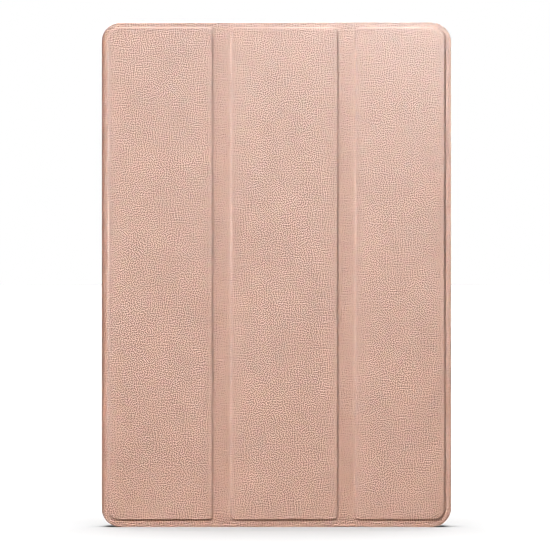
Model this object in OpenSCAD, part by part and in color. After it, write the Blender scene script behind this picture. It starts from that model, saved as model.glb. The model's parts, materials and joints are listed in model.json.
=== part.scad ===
// Tablet computer in a tri-fold folio case, closed and standing on its short edge.
// Millimetres. +Z is up the long side, the cover faces -Y, and the spine is on the -X side.
// The origin is under the middle of the closed folio, at the level it stands on.

/* [Folio] */
// Overall width of the closed folio with its spine
case_w = 177.4; // [176:0.1:180]
// Overall height of the folio
case_h = 256; // [254:0.5:260]
// Corner radius seen from the front
case_r = 10; // [9:0.5:11]
// Thickness of the synthetic leather
leather_t = 0.8; // [0.7:0.05:0.9]
// Thickness of the hard shell's back plate
shell_t = 1.2; // [1:0.1:1.6]
// How far the shell's rim stands in front of the glass
rim_proud = 0.6; // [0.5:0.1:0.8]
// Outer radius of the leather where it bends round the spine's two edges
bend_r = 2.6; // [2.4:0.1:2.8]
// Thickness of the stiff strip inside the spine
spine_board_t = 0.6; // [0.4:0.1:0.6]
// Thickness of the soft lining over that strip
spine_lining_t = 0.2; // [0.1:0.05:0.2]

/* [Cover panels] */
// Thickness of the stiff board inside each panel
board_t = 0.9; // [0.8:0.1:1.1]
// Thickness of the soft lining that faces the screen
lining_t = 0.4; // [0.3:0.05:0.5]
// Air between the closed cover and the shell's rim
cover_gap = 0.3; // [0.3:0.05:0.5]
// Left and right edge of each raised panel, measured from the folio's left edge
panel_edges = [[3.4, 56.6], [65.5, 120.1], [128.6, 174.5]]; // three pairs
// Leather left flat below the raised panels
border_bottom = 3.5; // [3:0.1:4]
// Leather left flat above the raised panels
border_top = 2.5; // [2:0.1:3]

/* [Tablet] */
// Width of the tablet
tablet_w = 171.7; // [171:0.1:172]
// Height of the tablet
tablet_h = 251.2; // [250:0.1:251.4]
// Thickness of the tablet
tablet_t = 7.5; // [7.4:0.1:8]
// Corner radius of the tablet
tablet_r = 8; // [7:0.5:9]
// Thickness of the cover glass
glass_t = 0.7; // [0.6:0.05:0.8]
// Thickness of the display module bonded to the glass
display_t = 1.5; // [1.2:0.1:1.5]
// Black border between the tablet's edge and the display module
display_border = 7; // [6.5:0.1:8]
// Thickness of the aluminium housing's walls
housing_wall = 1.4; // [1.2:0.1:1.5]
// Thickness of the aluminium housing's back
housing_back = 1; // [0.8:0.1:1.1]

/* [Keys, tray and sockets] */
// Length of the power key
power_len = 11; // [9:0.5:12]
// Length of the volume rocker
rocker_len = 22; // [18:0.5:24]
// Width of both keys
key_w = 2; // [1.8:0.1:2.2]
// How far both keys stand out of the housing
key_proud = 0.4; // [0.3:0.05:0.5]
// Radius of the headphone socket's bore
jack_r = 1.8; // [1.76:0.01:1.85]
// Depth of the headphone socket's bore
jack_depth = 14; // [13:0.5:15]
// Length of the card tray inside the housing
tray_len = 21; // [20:0.5:22]

/* [Hidden] */
$fn = 48;
corner_steps = 10;
cut = 1; // how far a hole runs past the face it opens
fit = 0.1; // air on each side of a fitted part
hair = 0.05; // the smallest air between two parts

// depth levels, from the back of the folio to its front
depth = 2 * leather_t + shell_t + tablet_t + rim_proud + cover_gap + lining_t + board_t;
y_back = depth / 2;
y_shell = y_back - leather_t;
y_tablet = y_shell - shell_t;
y_glass = y_tablet - tablet_t;
y_rim = y_glass - rim_proud;
y_lining = y_rim - cover_gap;
y_board = y_lining - lining_t;
y_web = y_board - leather_t;
y_raised = y_board - board_t;
y_front = y_raised - leather_t;

// width levels
x_left = -case_w / 2;
x_right = case_w / 2;
shell_gap = 0.3;
shell_left = x_left + leather_t + spine_board_t + spine_lining_t + shell_gap;
shell_inset = 0.2;
rim_overlap = 0.9; // how far the shell's rim reaches over the tablet's edge
shell_right = x_right - shell_inset;
shell_r_left = case_r - (shell_left - x_left);
shell_r_right = case_r - shell_inset;
tablet_fit = 0.2;
mid_x = (shell_left + shell_right) / 2;
mid_z = case_h / 2;
tab_l = mid_x - tablet_w / 2;
tab_r = mid_x + tablet_w / 2;
tab_b = mid_z - tablet_h / 2;
tab_t = mid_z + tablet_h / 2;

// depth levels inside the tablet
glass_proud = 0.15;
adhesive_t = 0.15;
y_glass_in = y_glass + glass_t;
y_ledge = y_glass_in + adhesive_t;
ledge_t = 0.8;
y_display = y_glass_in + display_t;
plate_t = 0.5;
y_plate = y_display + hair;
y_plate_in = y_plate + plate_t;
y_floor = y_tablet - housing_back;

// insets from the tablet's outline
rim_inset = 0.8;
ledge_inset = 3.2;
plate_inset = 3.5;
screw_inset = 5;
adhesive_inset = 0.4;

// screws that hold the plate on the housing's posts
plate_hole_r = 0.8;
plate_screw_len = 3;
cross_slot = [1.3, 0.4, 0.3];
post_root = 0.2;
board_head_r = 1.5;
screw_r = 0.68;
screw_hole_r = 0.7;
head_r = 1.1;
head_t = 0.5;
post_r = 1.5;
side_screw_z = [12, 50, 95, 140, 185, 230];
top_screw_x = [-8, 10];
bottom_screw_x = [-22, 23];
plate_screw_points = concat(
    [for (z = side_screw_z, x = [tab_l + screw_inset, tab_r - screw_inset]) [x, z]],
    [for (x = top_screw_x) [x, tab_t - screw_inset]],
    [for (x = bottom_screw_x) [x, tab_b + screw_inset]]);

// openings in the mid plate
plate_window_z = [70, 128];
plate_window_x = 38;
plate_window = [24, 46, 6]; // half width, height, corner radius
usb_notch = 5.5;
jack_notch = 3.8;

// main board and its parts; a chip is [x, z, width, height, thickness]
processor_chip = [-36, 221, 14, 14, 0.9];
memory_list = [[-21, 215, 9, 9, 0.8], [-21, 227, 9, 9, 0.8],
    [22, 221, 12, 10, 0.8], [34, 221, 7, 7, 0.7]];
hall_chip = [50, 220, 3, 3, 0.6];
top_microphone = [-3, 234, 3.5, 2.6, 0.9];
pcb_r = 1.5;
flex_t = 0.2;
board_pcb_t = 0.8;
pcb = [-62, 58, 203, 237];
y_pcb = y_floor - 1.95;
y_pcb_back = y_pcb + board_pcb_t;
pcb_screw_points = [[-58, 207], [54, 207], [-58, 233], [54, 233]];
standoff_r = 1.8;
pcb_hole_r = 0.9;
shield_t = 0.2;
shield_h = 1.2;
processor_can = [-46, -14, 209, 233];
display_flex_x = [-38, -22];
radio_can = [12, 40, 209, 233];

// batteries
cell_gap = 3;
cell_w = 72;
cell_z = [48, 196];
y_cell = y_floor - 3.25;
cell_r = 2;
cell_flex_x = 8;
cell_flex_w = 8;
cell_flex_t = 0.3;

// speakers; each box is [left, bottom], the two at the top first
speaker_w = 30;
speaker_h = 10;
speaker_boxes = [
    [mid_x - 53, tab_t - 12.5], [mid_x + 23, tab_t - 12.5],
    [mid_x - 61, tab_b + 2.5], [mid_x + 31, tab_b + 2.5]];
grille_holes = 7;
grille_pitch = 3.4;
grille_r = 0.6;
sound_y = 0.7;
speaker_r = 1.5;
mouth_inset = 2.5;
mouth_h = 1.6;
mouth_depth = 1.2;
mic_x = 9;
mic_z = 8;
mic_size = 3;
mic_t = 0.9;

// rear camera
cam_x = 70;
cam_z = 237;
cam_module = 11;
cam_barrel_r = 4.3;
cam_ring_r = 6.2;
flash_z = 226;
flash_r = 1.8;
flash_flange = 0.8;
barrel_proud = 0.5;
lens_r = cam_barrel_r + 0.35;
lens_seat = 0.35;

// windows in the shell; the lengths over a key leave room for a fingertip
usb_window_len = 14;
jack_window_len = 8;
finger_room = 6;
tray_room = 5;
sound_window_inset = 4;
hole_run = 2;
socket_window = 6.2;
key_window = 5.6;
sound_window = 4.6;
wall_cut = 4;
shell_bevel = 1.3;
window_w = 17;
window_r = 8.49; // a hair under half the width, so that the sides stay straight
window_bottom = 219;
window_top = 247;

// front camera
front_cam_z = tab_t - 5;
front_cam_r = 1.5;
front_cam_half = 2.2;
front_cam_t = 1.2;

// antennas
antenna_w = 4.2;
antenna_left_z = [198, 222];
antenna_right_z = [234, 247];

// sockets, keys and card tray, all centred on one depth level
edge_y = 1.15;
usb_w = 8.94;
usb_h = 3.26;
usb_depth = 7.3;
usb_wall = 0.3;
usb_back_t = 0.4;
tongue_w = 6.6;
tongue_t = 0.7;
port_t = 0.6;
port_board_w = 28;
y_port = y_floor - port_t - 0.15;
port_top = tab_b + 18;
jack_x = -70;
jack_collar_r = 2.5;
jack_collar_len = 2.2;
jack_body_w = 6.6;
power_x = 62;
rocker_z = 211;
key_clear = 0.15;
flange_t = 1;
flange_over = 1.2;
flange_w = key_w + 0.8;
switch_t = 0.7;
switch_gap = 0.4;
switch_half = 2.2;
switch_reach = 8;
strip_half = 1.2;
strip_t = 0.3;
key_travel_room = 0.5;
card_z = 32;
card_face = 14;
card_face_t = 2.4;
card_frame_w = 12.4;
card_frame_t = 1;
card_size = [15, 11, 0.7]; // a memory card's length, width and thickness
card_inset = 2;
card_notch = [9, 10.2, 0.7]; // start and end along the card, depth
slot_sheet_t = 0.25;
slot_side_t = 0.4;
eject_z = 5.2;
eject_r = 0.5;

// spine, folds and magnets of the folio
spine_strip_gap = 0.4;
spine_strip_inset = 2;
lining_inset = 0.6;
closing_inset = 4.6;
stand_inset = 9;
wake_x = 168;
wake_z = 205;
wake_r = 3;
magnet_gap = 0.1;
web_slit = 0.15;
bend_slit = 0.3;
fold_x = [for (i = [0:1]) x_left + (panel_edges[i][1] + panel_edges[i + 1][0]) / 2];
board_inset = 0.6;
panel_corner_r = [[6, 3, 2.5, 6], [3, 3, 2.5, 2.5], [2.5, 6, 6, 2.5]];
magnet_t = 0.8;
closing_magnet_z = [70, 115, 160];
closing_magnet = [3, 18]; // width, height

// points of a rectangle with its own radius at each corner:
// bottom left, bottom right, top right, top left
function round_rect(x0, x1, z0, z1, r) = [
    for (c = [[x0, z0, 0, 180], [x1, z0, 1, 270], [x1, z1, 2, 0], [x0, z1, 3, 90]])
        let (q = r[c[2]], cx = c[0] == x0 ? x0 + q : x1 - q, cz = c[1] == z0 ? z0 + q : z1 - q)
            for (k = [0:corner_steps])
                let (a = c[3] + 90 * k / corner_steps)
                    [cx + q * cos(a), cz + q * sin(a)]];

// a flat part standing in the XZ plane, between two depth levels
module plate(y0, y1) {
    translate([0, y1, 0]) rotate([90, 0, 0]) linear_extrude(y1 - y0) children();
}

module rounded(x0, x1, z0, z1, r) {
    polygon(round_rect(x0, x1, z0, z1, [r, r, r, r]));
}

module block(x0, x1, y0, y1, z0, z1) {
    translate([x0, y0, z0]) cube([x1 - x0, y1 - y0, z1 - z0]);
}

// a round bar along Y
module bar_y(x, z, r, y0, y1) {
    translate([x, y1, z]) rotate([90, 0, 0]) cylinder(r = r, h = y1 - y0);
}

// a round bar along Z
module bar_z(x, y, r, z0, z1) {
    translate([x, y, z0]) cylinder(r = r, h = z1 - z0);
}

module case_outline(inset = 0) {
    rounded(x_left + inset, x_right - inset, inset, case_h - inset, case_r - inset);
}

module shell_outline() {
    polygon(round_rect(shell_left, shell_right, 0, case_h,
        [shell_r_left, shell_r_right, shell_r_right, shell_r_left]));
}

module tablet_outline(inset = 0) {
    rounded(tab_l + inset, tab_r - inset, tab_b + inset, tab_t - inset, tablet_r - inset);
}

// a slot with round ends, cut through a wall along Z
module slot_z(x, y, length, width, z0, z1) {
    for (s = [-1, 1]) bar_z(x + s * (length - width) / 2, y, width / 2, z0, z1);
    block(x - (length - width) / 2, x + (length - width) / 2, y - width / 2, y + width / 2, z0, z1);
}

// a slot with round ends, cut through a wall along X
module slot_x(z, y, length, width, x0, x1) {
    for (s = [-1, 1])
        translate([x0, y, z + s * (length - width) / 2])
            rotate([0, 90, 0]) cylinder(r = width / 2, h = x1 - x0);
    block(x0, x1, y - width / 2, y + width / 2, z - (length - width) / 2, z + (length - width) / 2);
}

// a quarter ring of leather, standing along Z; start is the angle where it begins
module leather_bend(x, y, start) {
    translate([x, y, 0]) intersection() {
        difference() {
            cylinder(r = bend_r, h = case_h);
            translate([0, 0, -cut]) cylinder(r = bend_r - leather_t, h = case_h + 2 * cut);
        }
        rotate([0, 0, start]) cube([bend_r + cut, bend_r + cut, case_h]);
    }
}

// keeps what lies inside the folio's rounded outline
module in_outline() {
    intersection() {
        children();
        plate(y_front - cut, y_back + cut) case_outline();
    }
}

module camera_window(y0, y1) {
    plate(y0, y1)
        rounded(cam_x - window_w / 2, cam_x + window_w / 2, window_bottom, window_top, window_r);
}

// folio: back and spine

module back_leather() {
    color([0.85, 0.66, 0.57]) in_outline() {
        difference() {
            block(x_left + bend_r, shell_right, y_shell, y_back, 0, case_h);
            camera_window(y_shell - cut, y_back + cut);
        }
        leather_bend(x_left + bend_r, y_back - bend_r, 90);
    }
}

module rear_shell() {
    color([0.79, 0.60, 0.52]) difference() {
        plate(y_rim, y_shell) shell_outline();
        plate(y_glass - hair, y_tablet) tablet_outline(-tablet_fit);
        plate(y_rim - cut, y_glass) tablet_outline(rim_overlap);
        camera_window(y_tablet - cut, y_shell + cut);
        // bevel that clears the leather bend
        translate([shell_left, y_shell, mid_z])
            rotate([0, 0, 45]) cube([shell_bevel, shell_bevel, case_h + 2 * cut], center = true);
        // windows for the sockets, keys, card tray and speakers
        slot_z(mid_x, edge_y, usb_window_len, socket_window, -cut, wall_cut);
        slot_z(jack_x, edge_y, jack_window_len, socket_window, case_h - wall_cut, case_h + cut);
        slot_z(power_x, edge_y, power_len + finger_room, key_window, case_h - wall_cut, case_h + cut);
        slot_x(rocker_z, edge_y, rocker_len + finger_room, key_window,
            shell_right - wall_cut, shell_right + cut);
        slot_x(card_z, edge_y, card_face + tray_room, key_window,
            shell_right - wall_cut, shell_right + cut);
        for (i = [0:3])
            slot_z(speaker_boxes[i][0] + speaker_w / 2, sound_y,
                speaker_w - sound_window_inset, sound_window,
                i < 2 ? case_h - wall_cut : -cut, i < 2 ? case_h + 1 : wall_cut);
    }
}

module spine_leather() {
    flat_front = y_web + bend_r;
    color([0.85, 0.66, 0.57]) in_outline() {
        block(x_left, x_left + leather_t, flat_front, y_back - bend_r - bend_slit, 0, case_h);
        leather_bend(x_left + bend_r, flat_front, 180);
    }
}

module spine_strip(x, thickness) {
    block(x, x + thickness, y_web + bend_r + spine_strip_gap, y_back - bend_r - spine_strip_gap,
        case_r - spine_strip_inset, case_h - case_r + spine_strip_inset);
}

module spine_board() {
    color([0.25, 0.24, 0.23]) spine_strip(x_left + leather_t, spine_board_t);
}

module spine_lining() {
    color([0.62, 0.55, 0.52]) spine_strip(x_left + leather_t + spine_board_t, spine_lining_t);
}

// folio: cover panels, numbered from the spine

function panel_left(i) = i == 0 ? x_left + bend_r + bend_slit : fold_x[i - 1] + web_slit;
function panel_right(i) = i == 2 ? x_right : fold_x[i] - web_slit;

module raised_outline(i, inset) {
    r = [for (q = panel_corner_r[i]) q - inset];
    polygon(round_rect(x_left + panel_edges[i][0] + inset, x_left + panel_edges[i][1] - inset,
        border_bottom + inset, case_h - border_top - inset, r));
}

module cover_leather(i) {
    color([0.87, 0.68, 0.59]) difference() {
        union() {
            plate(y_web, y_board) intersection() {
                case_outline();
                translate([panel_left(i), 0]) square([panel_right(i) - panel_left(i), case_h]);
            }
            plate(y_front, y_board) raised_outline(i, 0);
        }
        plate(y_raised, y_board + cut) raised_outline(i, board_inset);
    }
}

module magnet_slots(points, size, clear, y0, y1) {
    for (p = points)
        block(p[0] - size[0] / 2 - clear, p[0] + size[0] / 2 + clear, y0, y1,
            p[1] - size[1] / 2 - clear, p[1] + size[1] / 2 + clear);
}

closing_points = [for (z = closing_magnet_z) [tab_r - closing_inset, z]];
stand_points = [for (z = closing_magnet_z) [x_left + stand_inset, z]];
wake_point = [x_left + wake_x, wake_z];

module cover_board(i) {
    color([0.36, 0.33, 0.30]) difference() {
        plate(y_raised, y_board) raised_outline(i, board_inset);
        if (i == 0) magnet_slots(stand_points, closing_magnet, magnet_gap, y_raised - cut, y_board + cut);
        if (i == 2) magnet_slots(closing_points, closing_magnet, magnet_gap, y_raised - cut, y_board + cut);
        if (i == 2) bar_y(wake_point[0], wake_point[1], wake_r + magnet_gap, y_raised - cut, y_board + cut);
    }
}

module cover_lining(i) {
    color([0.62, 0.55, 0.52]) plate(y_board, y_lining) intersection() {
        case_outline(lining_inset);
        translate([panel_left(i), 0]) square([panel_right(i) - panel_left(i), case_h]);
    }
}

module stand_magnets() {
    color([0.7, 0.7, 0.72])
        magnet_slots(stand_points, closing_magnet, 0, y_board - magnet_t, y_board);
}

module closing_magnets() {
    color([0.7, 0.7, 0.72])
        magnet_slots(closing_points, closing_magnet, 0, y_board - magnet_t, y_board);
}

module wake_magnet() {
    color([0.7, 0.7, 0.72])
        bar_y(wake_point[0], wake_point[1], wake_r, y_board - magnet_t, y_board);
}

// tablet: housing, glass and display

module rear_housing() {
    color([0.80, 0.80, 0.82]) difference() {
        union() {
            difference() {
                plate(y_glass + glass_proud, y_tablet) tablet_outline();
                plate(y_glass - cut, y_ledge) tablet_outline(rim_inset);
                plate(y_ledge - cut, y_ledge + ledge_t + fit) tablet_outline(ledge_inset);
                plate(y_ledge + ledge_t, y_floor) tablet_outline(housing_wall);
            }
            for (p = plate_screw_points) bar_y(p[0], p[1], post_r, y_plate_in, y_floor + post_root);
            for (p = pcb_screw_points) bar_y(p[0], p[1], standoff_r, y_pcb_back, y_floor + post_root);
        }
        for (p = plate_screw_points) bar_y(p[0], p[1], screw_hole_r, y_plate_in - cut, y_floor);
        for (p = pcb_screw_points) bar_y(p[0], p[1], screw_hole_r, y_pcb_back - cut, y_floor);
        // rear camera and flash
        bar_y(cam_x, cam_z, cam_barrel_r + 2 * fit, y_floor - cut, y_tablet + cut);
        bar_y(cam_x, flash_z, flash_r + fit, y_floor - cut, y_tablet + cut);
        // sockets, keys and card tray
        slot_z(mid_x, edge_y, usb_w + 2 * usb_wall + 2 * fit, usb_h + 2 * usb_wall + 2 * fit,
            tab_b - cut, tab_b + hole_run);
        bar_z(jack_x, edge_y, jack_collar_r + fit, tab_t - jack_collar_len - fit, tab_t + cut);
        slot_z(power_x, edge_y, power_len + 2 * key_clear, key_w + 2 * key_clear,
            tab_t - hole_run, tab_t + cut);
        slot_x(rocker_z, edge_y, rocker_len + 2 * key_clear, key_w + 2 * key_clear,
            tab_r - hole_run, tab_r + cut);
        slot_x(card_z, edge_y, card_face + 3 * fit, card_face_t + 3 * fit, tab_r - hole_run, tab_r + cut);
        // speaker and microphone holes
        for (i = [0:3], k = [0:grille_holes - 1])
            bar_z(speaker_boxes[i][0] + speaker_w / 2 + (k - (grille_holes - 1) / 2) * grille_pitch,
                sound_y, grille_r, i < 2 ? tab_t - 2 : tab_b - cut, i < 2 ? tab_t + 1 : tab_b + hole_run);
    }
}

module front_glass() {
    color([0.03, 0.03, 0.035]) plate(y_glass, y_glass_in) tablet_outline(rim_inset + fit);
}

module display_panel() {
    color([0.06, 0.06, 0.07]) plate(y_glass_in, y_display) tablet_outline(display_border);
}

module display_adhesive() {
    color([0.1, 0.1, 0.1]) plate(y_glass_in, y_ledge) difference() {
        tablet_outline(rim_inset + adhesive_inset);
        tablet_outline(ledge_inset);
    }
}

module mid_plate() {
    color([0.72, 0.73, 0.75]) difference() {
        plate(y_plate, y_plate_in) tablet_outline(plate_inset);
        for (p = plate_screw_points) bar_y(p[0], p[1], plate_hole_r, y_plate - cut, y_plate_in + cut);
        block(display_flex_x[0] - 2, display_flex_x[1] + 2, y_plate - cut, y_plate_in + cut,
            pcb[2] + 2, pcb[2] + 8);
        block(mid_x - usb_notch, mid_x + usb_notch, y_plate - cut, y_plate_in + cut,
            0, tab_b + usb_depth + 0.5);
        block(jack_x - jack_notch, jack_x + jack_notch, y_plate - cut, y_plate_in + cut,
            tab_t - jack_depth - 2, case_h);
        bar_y(mid_x, front_cam_z, front_cam_r + 0.4, y_plate - cut, y_plate_in + cut);
        // lightening windows over the batteries
        for (s = [-1, 1], z = plate_window_z)
            plate(y_plate - cut, y_plate_in + cut)
                rounded(mid_x + s * plate_window_x - plate_window[0],
                    mid_x + s * plate_window_x + plate_window[0],
                    z, z + plate_window[1], plate_window[2]);
    }
}

module plate_screws() {
    color([0.55, 0.56, 0.58]) for (p = plate_screw_points) difference() {
        union() {
            bar_y(p[0], p[1], head_r, y_plate - head_t, y_plate);
            bar_y(p[0], p[1], screw_r, y_plate, y_plate + plate_screw_len);
        }
        for (a = [0, 90])
            translate([p[0], y_plate - head_t, p[1]]) rotate([0, a, 0]) cube(cross_slot, center = true);
    }
}

// tablet: power

module battery(s) {
    x0 = s < 0 ? mid_x - cell_gap / 2 - cell_w : mid_x + cell_gap / 2;
    color([0.16, 0.16, 0.18]) plate(y_cell, y_floor) rounded(x0, x0 + cell_w, cell_z[0], cell_z[1], cell_r);
}

module battery_flex() {
    color([0.75, 0.45, 0.12]) for (s = [-1, 1]) {
        x0 = mid_x + s * cell_flex_x - cell_flex_w / 2;
        x1 = x0 + cell_flex_w;
        // from the cell, round the board's edge, to its connector
        block(x0, x1, y_pcb + 0.1, y_pcb + cell_flex_t, cell_z[1], pcb[2]);
        block(x0, x1, y_pcb - cell_flex_t, y_pcb, pcb[2] + 0.4, pcb[2] + 4);
        block(x0, x1, y_pcb - cell_flex_t, y_pcb + cell_flex_t, pcb[2] - 0.4, pcb[2]);
        block(x0, x1, y_pcb - cell_flex_t, y_pcb, pcb[2] - 0.4, pcb[2] + 0.5);
    }
}

// tablet: boards

module main_board() {
    color([0.05, 0.30, 0.18]) difference() {
        plate(y_pcb, y_pcb_back) rounded(pcb[0], pcb[1], pcb[2], pcb[3], pcb_r);
        for (p = pcb_screw_points) bar_y(p[0], p[1], pcb_hole_r, y_pcb - cut, y_pcb_back + cut);
    }
}

module board_screws() {
    color([0.55, 0.56, 0.58]) for (p = pcb_screw_points) {
        bar_y(p[0], p[1], board_head_r, y_pcb - head_t, y_pcb);
        bar_y(p[0], p[1], screw_r, y_pcb, y_floor - post_root);
    }
}

module shield_can(c) {
    color([0.76, 0.77, 0.79]) difference() {
        block(c[0], c[1], y_pcb - shield_h, y_pcb, c[2], c[3]);
        block(c[0] + shield_t, c[1] - shield_t, y_pcb - shield_h + shield_t, y_pcb + cut,
            c[2] + shield_t, c[3] - shield_t);
    }
}

// a chip on the main board, given as [x, z, width, height, thickness]
module chip(c) {
    block(c[0] - c[2] / 2, c[0] + c[2] / 2, y_pcb - c[4], y_pcb, c[1] - c[3] / 2, c[1] + c[3] / 2);
}

module processor() {
    color([0.08, 0.08, 0.09]) chip(processor_chip);
}

module memory_chips() {
    color([0.1, 0.1, 0.11]) for (c = memory_list) chip(c);
}

module hall_sensor() {
    color([0.1, 0.1, 0.1]) chip(hall_chip);
}

module display_flex() {
    z0 = pcb[2] + 2.8;
    color([0.80, 0.50, 0.14]) {
        block(display_flex_x[0], display_flex_x[1], y_display, y_pcb - 0.3, z0, z0 + flex_t);
        block(display_flex_x[0], display_flex_x[1], y_pcb - 0.3, y_pcb - 0.1, z0, pcb[2] + 5.5);
    }
}

module port_board() {
    notch_w = usb_w / 2 + usb_wall + 3 * fit;
    color([0.05, 0.30, 0.18]) difference() {
        block(mid_x - port_board_w / 2, mid_x + port_board_w / 2, y_port, y_port + port_t,
            tab_b + housing_wall + 0.6, port_top);
        block(mid_x - notch_w, mid_x + notch_w, y_port - cut, y_port + port_t + cut,
            0, tab_b + usb_depth + 3 * fit);
    }
}

module port_flex() {
    color([0.80, 0.50, 0.14]) {
        block(mid_x - 1, mid_x + 1, y_pcb + 0.4, y_pcb + 0.4 + flex_t, port_top, pcb[2] - 0.2);
        block(mid_x - 1, mid_x + 1, y_pcb + 0.4, y_port + port_t, port_top, port_top + flex_t);
    }
}

// tablet: sockets

module usb_shape(grow) {
    slot_z(mid_x, edge_y, usb_w + 2 * grow, usb_h + 2 * grow, 0, usb_depth);
}

module usb_socket() {
    color([0.75, 0.76, 0.78]) translate([0, 0, tab_b]) difference() {
        usb_shape(usb_wall);
        translate([0, 0, -usb_back_t]) usb_shape(0);
    }
}

module usb_tongue() {
    color([0.07, 0.07, 0.07]) block(mid_x - tongue_w / 2, mid_x + tongue_w / 2,
        edge_y - tongue_t / 2, edge_y + tongue_t / 2, tab_b + 1, tab_b + usb_depth - usb_back_t);
}

module audio_jack() {
    body_top = tab_t - jack_collar_len;
    color([0.1, 0.1, 0.1]) difference() {
        union() {
            block(jack_x - jack_body_w / 2, jack_x + jack_body_w / 2, y_display + hair, y_floor,
                tab_t - jack_depth - 1.5, body_top);
            bar_z(jack_x, edge_y, jack_collar_r, body_top, tab_t);
        }
        bar_z(jack_x, edge_y, jack_r, tab_t - jack_depth, tab_t + cut);
    }
}

// tablet: sound

module speaker(i) {
    b = speaker_boxes[i];
    up = i < 2;
    mouth = up ? b[1] + speaker_h - mouth_depth : b[1] - 0.1;
    color([0.12, 0.12, 0.13]) difference() {
        plate(y_plate_in + 0.2, y_floor) rounded(b[0], b[0] + speaker_w, b[1], b[1] + speaker_h, speaker_r);
        block(b[0] + mouth_inset, b[0] + speaker_w - mouth_inset,
            sound_y - mouth_h / 2, sound_y + mouth_h / 2, mouth, mouth + mouth_depth + 0.1);
    }
}

module microphones() {
    color([0.70, 0.66, 0.45]) {
        chip(top_microphone);
        block(mid_x + mic_x, mid_x + mic_x + mic_size, y_port - mic_t, y_port,
            tab_b + mic_z, tab_b + mic_z + mic_size);
    }
}

// tablet: cameras

module front_camera() {
    color([0.05, 0.05, 0.07]) {
        bar_y(mid_x, front_cam_z, front_cam_r, y_glass_in, y_plate_in);
        block(mid_x - front_cam_half, mid_x + front_cam_half, y_plate_in, y_plate_in + front_cam_t,
            front_cam_z - front_cam_half, front_cam_z + front_cam_half);
    }
}

module rear_camera() {
    h = cam_module / 2;
    color([0.08, 0.08, 0.09]) {
        block(cam_x - h, cam_x + h, y_plate_in + 0.1, y_floor, cam_z - h, cam_z + h);
        bar_y(cam_x, cam_z, cam_barrel_r, y_floor, y_tablet + barrel_proud);
    }
}

module camera_ring() {
    color([0.72, 0.60, 0.55]) difference() {
        bar_y(cam_x, cam_z, cam_ring_r, y_tablet, y_shell);
        bar_y(cam_x, cam_z, cam_barrel_r + fit, y_tablet - cut, y_tablet + barrel_proud + fit);
        bar_y(cam_x, cam_z, cam_barrel_r - 0.8, y_tablet, y_shell + cut);
        bar_y(cam_x, cam_z, lens_r + hair, y_shell - lens_seat, y_shell + cut);
    }
}

module camera_lens() {
    color([0.04, 0.05, 0.08]) bar_y(cam_x, cam_z, lens_r, y_shell - lens_seat, y_shell - hair);
}

module flash_led() {
    color([0.95, 0.93, 0.80]) {
        bar_y(cam_x, flash_z, flash_r, y_floor, y_tablet);
        bar_y(cam_x, flash_z, flash_r + flash_flange, y_floor - flash_flange, y_floor);
    }
}

// tablet: radio and magnets

module antenna(s) {
    x = s < 0 ? tab_l + housing_wall + 0.2 : tab_r - housing_wall - 0.2 - antenna_w;
    z = s < 0 ? antenna_left_z : antenna_right_z;
    color([0.93, 0.92, 0.90]) block(x, x + antenna_w, y_plate_in + 0.3, y_floor - 0.2, z[0], z[1]);
}

module tablet_magnets() {
    color([0.7, 0.7, 0.72]) for (z = closing_magnet_z)
        block(tab_r - closing_inset - closing_magnet[0] / 2, tab_r - closing_inset + closing_magnet[0] / 2,
            y_plate_in + fit, y_plate_in + fit + 2, z - closing_magnet[1] / 2, z + closing_magnet[1] / 2);
}

// keys and card tray

module power_button() {
    flange_top = tab_t - housing_wall - key_travel_room;
    color([0.78, 0.78, 0.80]) {
        slot_z(power_x, edge_y, power_len, key_w, flange_top - flange_t, tab_t + key_proud);
        slot_z(power_x, edge_y, power_len + 2 * flange_over, flange_w, flange_top - flange_t, flange_top);
    }
}

module volume_rocker() {
    flange_out = tab_r - housing_wall - key_travel_room;
    color([0.78, 0.78, 0.80]) {
        slot_x(rocker_z, edge_y, rocker_len, key_w, flange_out - flange_t, tab_r + key_proud);
        slot_x(rocker_z, edge_y, rocker_len + 2 * flange_over, flange_w, flange_out - flange_t, flange_out);
    }
}

module key_switches() {
    power_z = tab_t - housing_wall - key_travel_room - flange_t - switch_gap;
    rocker_x = tab_r - housing_wall - key_travel_room - flange_t - switch_gap;
    color([0.85, 0.80, 0.65]) {
        block(power_x - switch_half, power_x + switch_half, edge_y - 1, edge_y + 1,
            power_z - switch_t, power_z);
        block(power_x - 6, power_x + 6, edge_y - strip_half, edge_y + strip_half,
            power_z - switch_t - strip_t, power_z - switch_t);
        for (z = [rocker_z - switch_reach, rocker_z + switch_reach])
            block(rocker_x - switch_t, rocker_x, edge_y - 1, edge_y + 1, z - switch_half, z + switch_half);
        block(rocker_x - switch_t - strip_t, rocker_x - switch_t, edge_y - strip_half, edge_y + strip_half,
            rocker_z - 12, rocker_z + 12);
    }
}

module card_slot() {
    x1 = tab_r - housing_wall - 0.4;
    x0 = tab_r - housing_wall - tray_len - 1;
    w = card_frame_w / 2 + 0.3;
    inner = card_frame_t / 2 + slot_sheet_t;
    color([0.74, 0.75, 0.77]) difference() {
        block(x0, x1, edge_y - inner - slot_sheet_t, edge_y + inner + slot_sheet_t,
            card_z - w - slot_side_t, card_z + w + slot_side_t);
        block(x0 + 0.3, x1 + cut, edge_y - inner, edge_y + inner, card_z - w, card_z + w);
    }
}

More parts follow.
